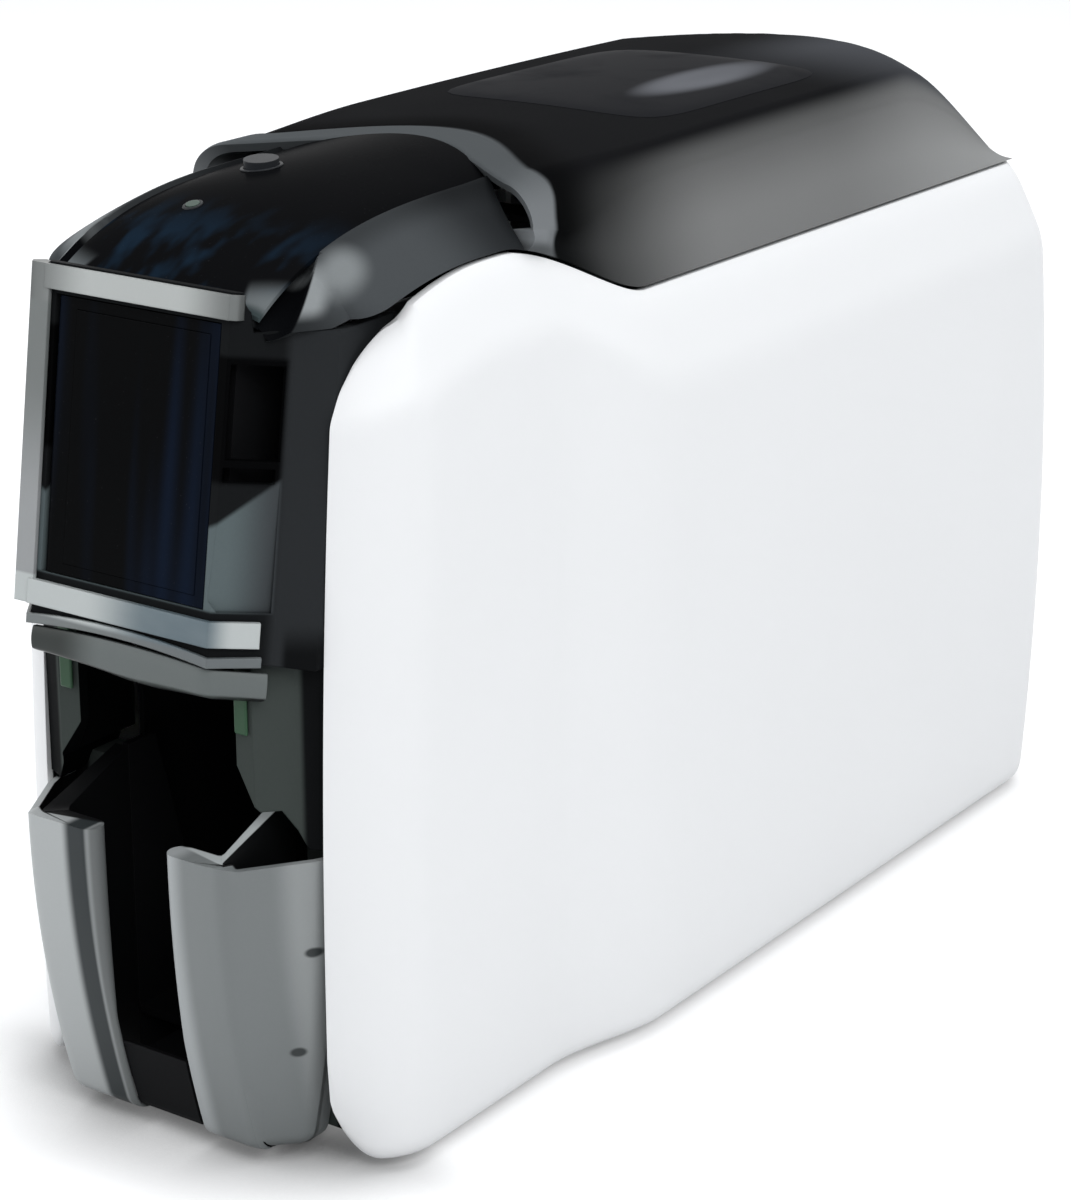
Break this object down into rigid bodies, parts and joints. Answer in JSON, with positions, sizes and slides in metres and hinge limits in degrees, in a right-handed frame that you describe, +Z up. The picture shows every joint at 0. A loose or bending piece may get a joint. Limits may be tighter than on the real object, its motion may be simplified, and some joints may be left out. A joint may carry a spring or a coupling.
{
  "type": "id card printer",
  "caption": "Slim desktop card printer: leaning front door over a card hopper, slotted output hopper, hinged lid over ribbon, print head and geared roller train.",
  "frame": {"origin": "on the desk, under the middle of the printer's width and depth", "axes": "+Z up; -Y out of the front, where the door and the output hopper are; +X to the right as seen from the front, the side the gear train is on"},
  "size_m": [0.158, 0.4119, 0.271],
  "materials": {
    "base_pan": "fine moulded grain",
    "feet": "soft matte",
    "right_panel": "fine satin grain",
    "left_panel": "fine satin grain",
    "rear_cover": "fine moulded grain",
    "front_fascia": "dark satin",
    "hopper_trim": "light satin",
    "console_cover": "dark satin",
    "console_deck": "gloss",
    "power_button": "satin",
    "status_light": "clear gloss",
    "right_plate": "brushed zinc",
    "left_plate": "brushed zinc",
    "tie_bars": "turned",
    "plate_screws": "plated",
    "card_tray": "moulded",
    "card_weight": "satin",
    "input_door": "high gloss",
    "door_window": "high gloss",
    "output_hopper": "moulded",
    "hopper_jaws": "satin",
    "touch_tabs": "satin",
    "hopper_bay": "moulded",
    "exit_chute": "moulded",
    "lid_shell": "semi gloss",
    "lid_inlay": "gloss",
    "lid_liner": "moulded",
    "hinge_pins": "ground",
    "head_bracket": "folded sheet",
    "print_head": "ground",
    "ribbon_frame": "moulded",
    "supply_spool": "moulded",
    "supply_ribbon": "film",
    "takeup_spool": "moulded",
    "takeup_ribbon": "film",
    "pick_roller": "ground",
    "pick_gear": "natural acetal",
    "infeed_roller": "ground",
    "infeed_gear": "natural acetal",
    "feed_roller": "ground",
    "feed_gear": "natural acetal",
    "platen_roller": "ground",
    "platen_gear": "natural acetal",
    "outfeed_roller": "ground",
    "outfeed_gear": "natural acetal",
    "pick_idler": "natural acetal",
    "infeed_idler": "natural acetal",
    "platen_idler": "natural acetal",
    "outfeed_idler": "natural acetal",
    "idler_pins": "ground",
    "cleaning_roller": "tacky sleeve",
    "pinch_roller": "ground",
    "drive_motor": "black oxide",
    "motor_pinion": "cut",
    "main_board": "solder resist",
    "rear_sockets": "plated shell",
    "socket_bezel": "moulded"
  },
  "bodies": {
    "base": {"base_pan": "base_pan", "feet": "feet", "right_panel": "right_panel", "left_panel": "left_panel", "rear_cover": "rear_cover", "front_fascia": "front_fascia", "hopper_trim": "hopper_trim", "console_cover": "console_cover", "console_deck": "console_deck", "status_light": "status_light", "right_plate": "right_plate", "left_plate": "left_plate", "tie_bars": "tie_bars", "plate_screws": "plate_screws", "card_tray": "card_tray", "touch_tabs": "touch_tabs", "hopper_bay": "hopper_bay", "exit_chute": "exit_chute", "hinge_pins": "hinge_pins", "ribbon_frame": "ribbon_frame", "idler_pins": "idler_pins", "drive_motor": "drive_motor", "main_board": "main_board", "rear_sockets": "rear_sockets", "socket_bezel": "socket_bezel"},
    "lid": {"lid_shell": "lid_shell", "lid_inlay": "lid_inlay", "lid_liner": "lid_liner", "head_bracket": "head_bracket", "print_head": "print_head"},
    "door": {"input_door": "input_door", "door_window": "door_window"},
    "hopper": {"output_hopper": "output_hopper", "hopper_jaws": "hopper_jaws"},
    "weight": {"card_weight": "card_weight"},
    "button": {"power_button": "power_button"},
    "supply": {"supply_spool": "supply_spool", "supply_ribbon": "supply_ribbon"},
    "takeup": {"takeup_spool": "takeup_spool", "takeup_ribbon": "takeup_ribbon"},
    "pick": {"pick_roller": "pick_roller", "pick_gear": "pick_gear"},
    "infeed": {"infeed_roller": "infeed_roller", "infeed_gear": "infeed_gear"},
    "feed": {"feed_roller": "feed_roller", "feed_gear": "feed_gear"},
    "platen": {"platen_roller": "platen_roller", "platen_gear": "platen_gear"},
    "outfeed": {"outfeed_roller": "outfeed_roller", "outfeed_gear": "outfeed_gear"},
    "pick_transfer": {"pick_idler": "pick_idler"},
    "infeed_transfer": {"infeed_idler": "infeed_idler"},
    "platen_transfer": {"platen_idler": "platen_idler"},
    "outfeed_transfer": {"outfeed_idler": "outfeed_idler"},
    "motor_shaft": {"motor_pinion": "motor_pinion"},
    "cleaner": {"cleaning_roller": "cleaning_roller"},
    "pinch": {"pinch_roller": "pinch_roller"}
  },
  "joints": [
    {"name": "lid_hinge", "type": "hinge", "parent": "base", "child": "lid", "pos_m": [0, 0.188, 0.229], "axis": [-1, 0, 0], "range_deg": [0, 85]},
    {"name": "door_hinge", "type": "hinge", "parent": "base", "child": "door", "pos_m": [-0.026, -0.19475, 0.20318], "axis": [0, -0.1495, -0.9888], "range_deg": [0, 90]},
    {"name": "hopper_slide", "type": "slide", "parent": "base", "child": "hopper", "axis": [0, -1, 0], "range_m": [0, 0.045]},
    {"name": "weight_slide", "type": "slide", "parent": "base", "child": "weight", "axis": [0, 0, 1], "range_m": [0, 0.068]},
    {"name": "power_press", "type": "slide", "parent": "base", "child": "button", "axis": [0, 0.0852, -0.9964], "range_m": [0, 0.0012], "stiffness_N_per_m": 400},
    {"name": "supply_spin", "type": "hinge", "parent": "base", "child": "supply", "pos_m": [0, 0.076, 0.198], "axis": [1, 0, 0], "continuous": true},
    {"name": "takeup_spin", "type": "hinge", "parent": "base", "child": "takeup", "pos_m": [0, -0.024, 0.198], "axis": [1, 0, 0], "continuous": true},
    {"name": "platen_spin", "type": "hinge", "parent": "base", "child": "platen", "pos_m": [0, 0.026, 0.159], "axis": [1, 0, 0], "continuous": true},
    {"name": "pick_spin", "type": "hinge", "parent": "base", "child": "pick", "pos_m": [0, -0.124, 0.159], "axis": [1, 0, 0], "continuous": true},
    {"name": "infeed_spin", "type": "hinge", "parent": "base", "child": "infeed", "pos_m": [0, -0.082, 0.159], "axis": [1, 0, 0], "continuous": true},
    {"name": "feed_spin", "type": "hinge", "parent": "base", "child": "feed", "pos_m": [0, -0.04, 0.159], "axis": [1, 0, 0], "continuous": true},
    {"name": "outfeed_spin", "type": "hinge", "parent": "base", "child": "outfeed", "pos_m": [0, 0.092, 0.159], "axis": [1, 0, 0], "continuous": true},
    {"name": "pick_idler_spin", "type": "hinge", "parent": "base", "child": "pick_transfer", "pos_m": [0, -0.103, 0.159], "axis": [1, 0, 0], "continuous": true},
    {"name": "infeed_idler_spin", "type": "hinge", "parent": "base", "child": "infeed_transfer", "pos_m": [0, -0.061, 0.159], "axis": [1, 0, 0], "continuous": true},
    {"name": "platen_idler_spin", "type": "hinge", "parent": "base", "child": "platen_transfer", "pos_m": [0, -0.007, 0.159], "axis": [1, 0, 0], "continuous": true},
    {"name": "outfeed_idler_spin", "type": "hinge", "parent": "base", "child": "outfeed_transfer", "pos_m": [0, 0.059, 0.159], "axis": [1, 0, 0], "continuous": true},
    {"name": "motor_spin", "type": "hinge", "parent": "base", "child": "motor_shaft", "pos_m": [0, -0.007, 0.131], "axis": [1, 0, 0], "continuous": true},
    {"name": "cleaning_spin", "type": "hinge", "parent": "base", "child": "cleaner", "pos_m": [0, -0.082, 0.1735], "axis": [1, 0, 0], "continuous": true},
    {"name": "pinch_spin", "type": "hinge", "parent": "base", "child": "pinch", "pos_m": [0, -0.04, 0.172], "axis": [1, 0, 0], "continuous": true}
  ],
  "couplings": [
    {"joint": "takeup_spin", "follows": "supply_spin", "ratio": 1.619},
    {"joint": "pick_spin", "follows": "platen_spin", "ratio": 1},
    {"joint": "infeed_spin", "follows": "platen_spin", "ratio": 1},
    {"joint": "feed_spin", "follows": "platen_spin", "ratio": 1},
    {"joint": "outfeed_spin", "follows": "platen_spin", "ratio": 1},
    {"joint": "pick_idler_spin", "follows": "platen_spin", "ratio": -1.3333},
    {"joint": "infeed_idler_spin", "follows": "platen_spin", "ratio": -1.3333},
    {"joint": "platen_idler_spin", "follows": "platen_spin", "ratio": -0.57143},
    {"joint": "outfeed_idler_spin", "follows": "platen_spin", "ratio": -0.57143},
    {"joint": "motor_spin", "follows": "platen_spin", "ratio": 1.7143}
  ]
}
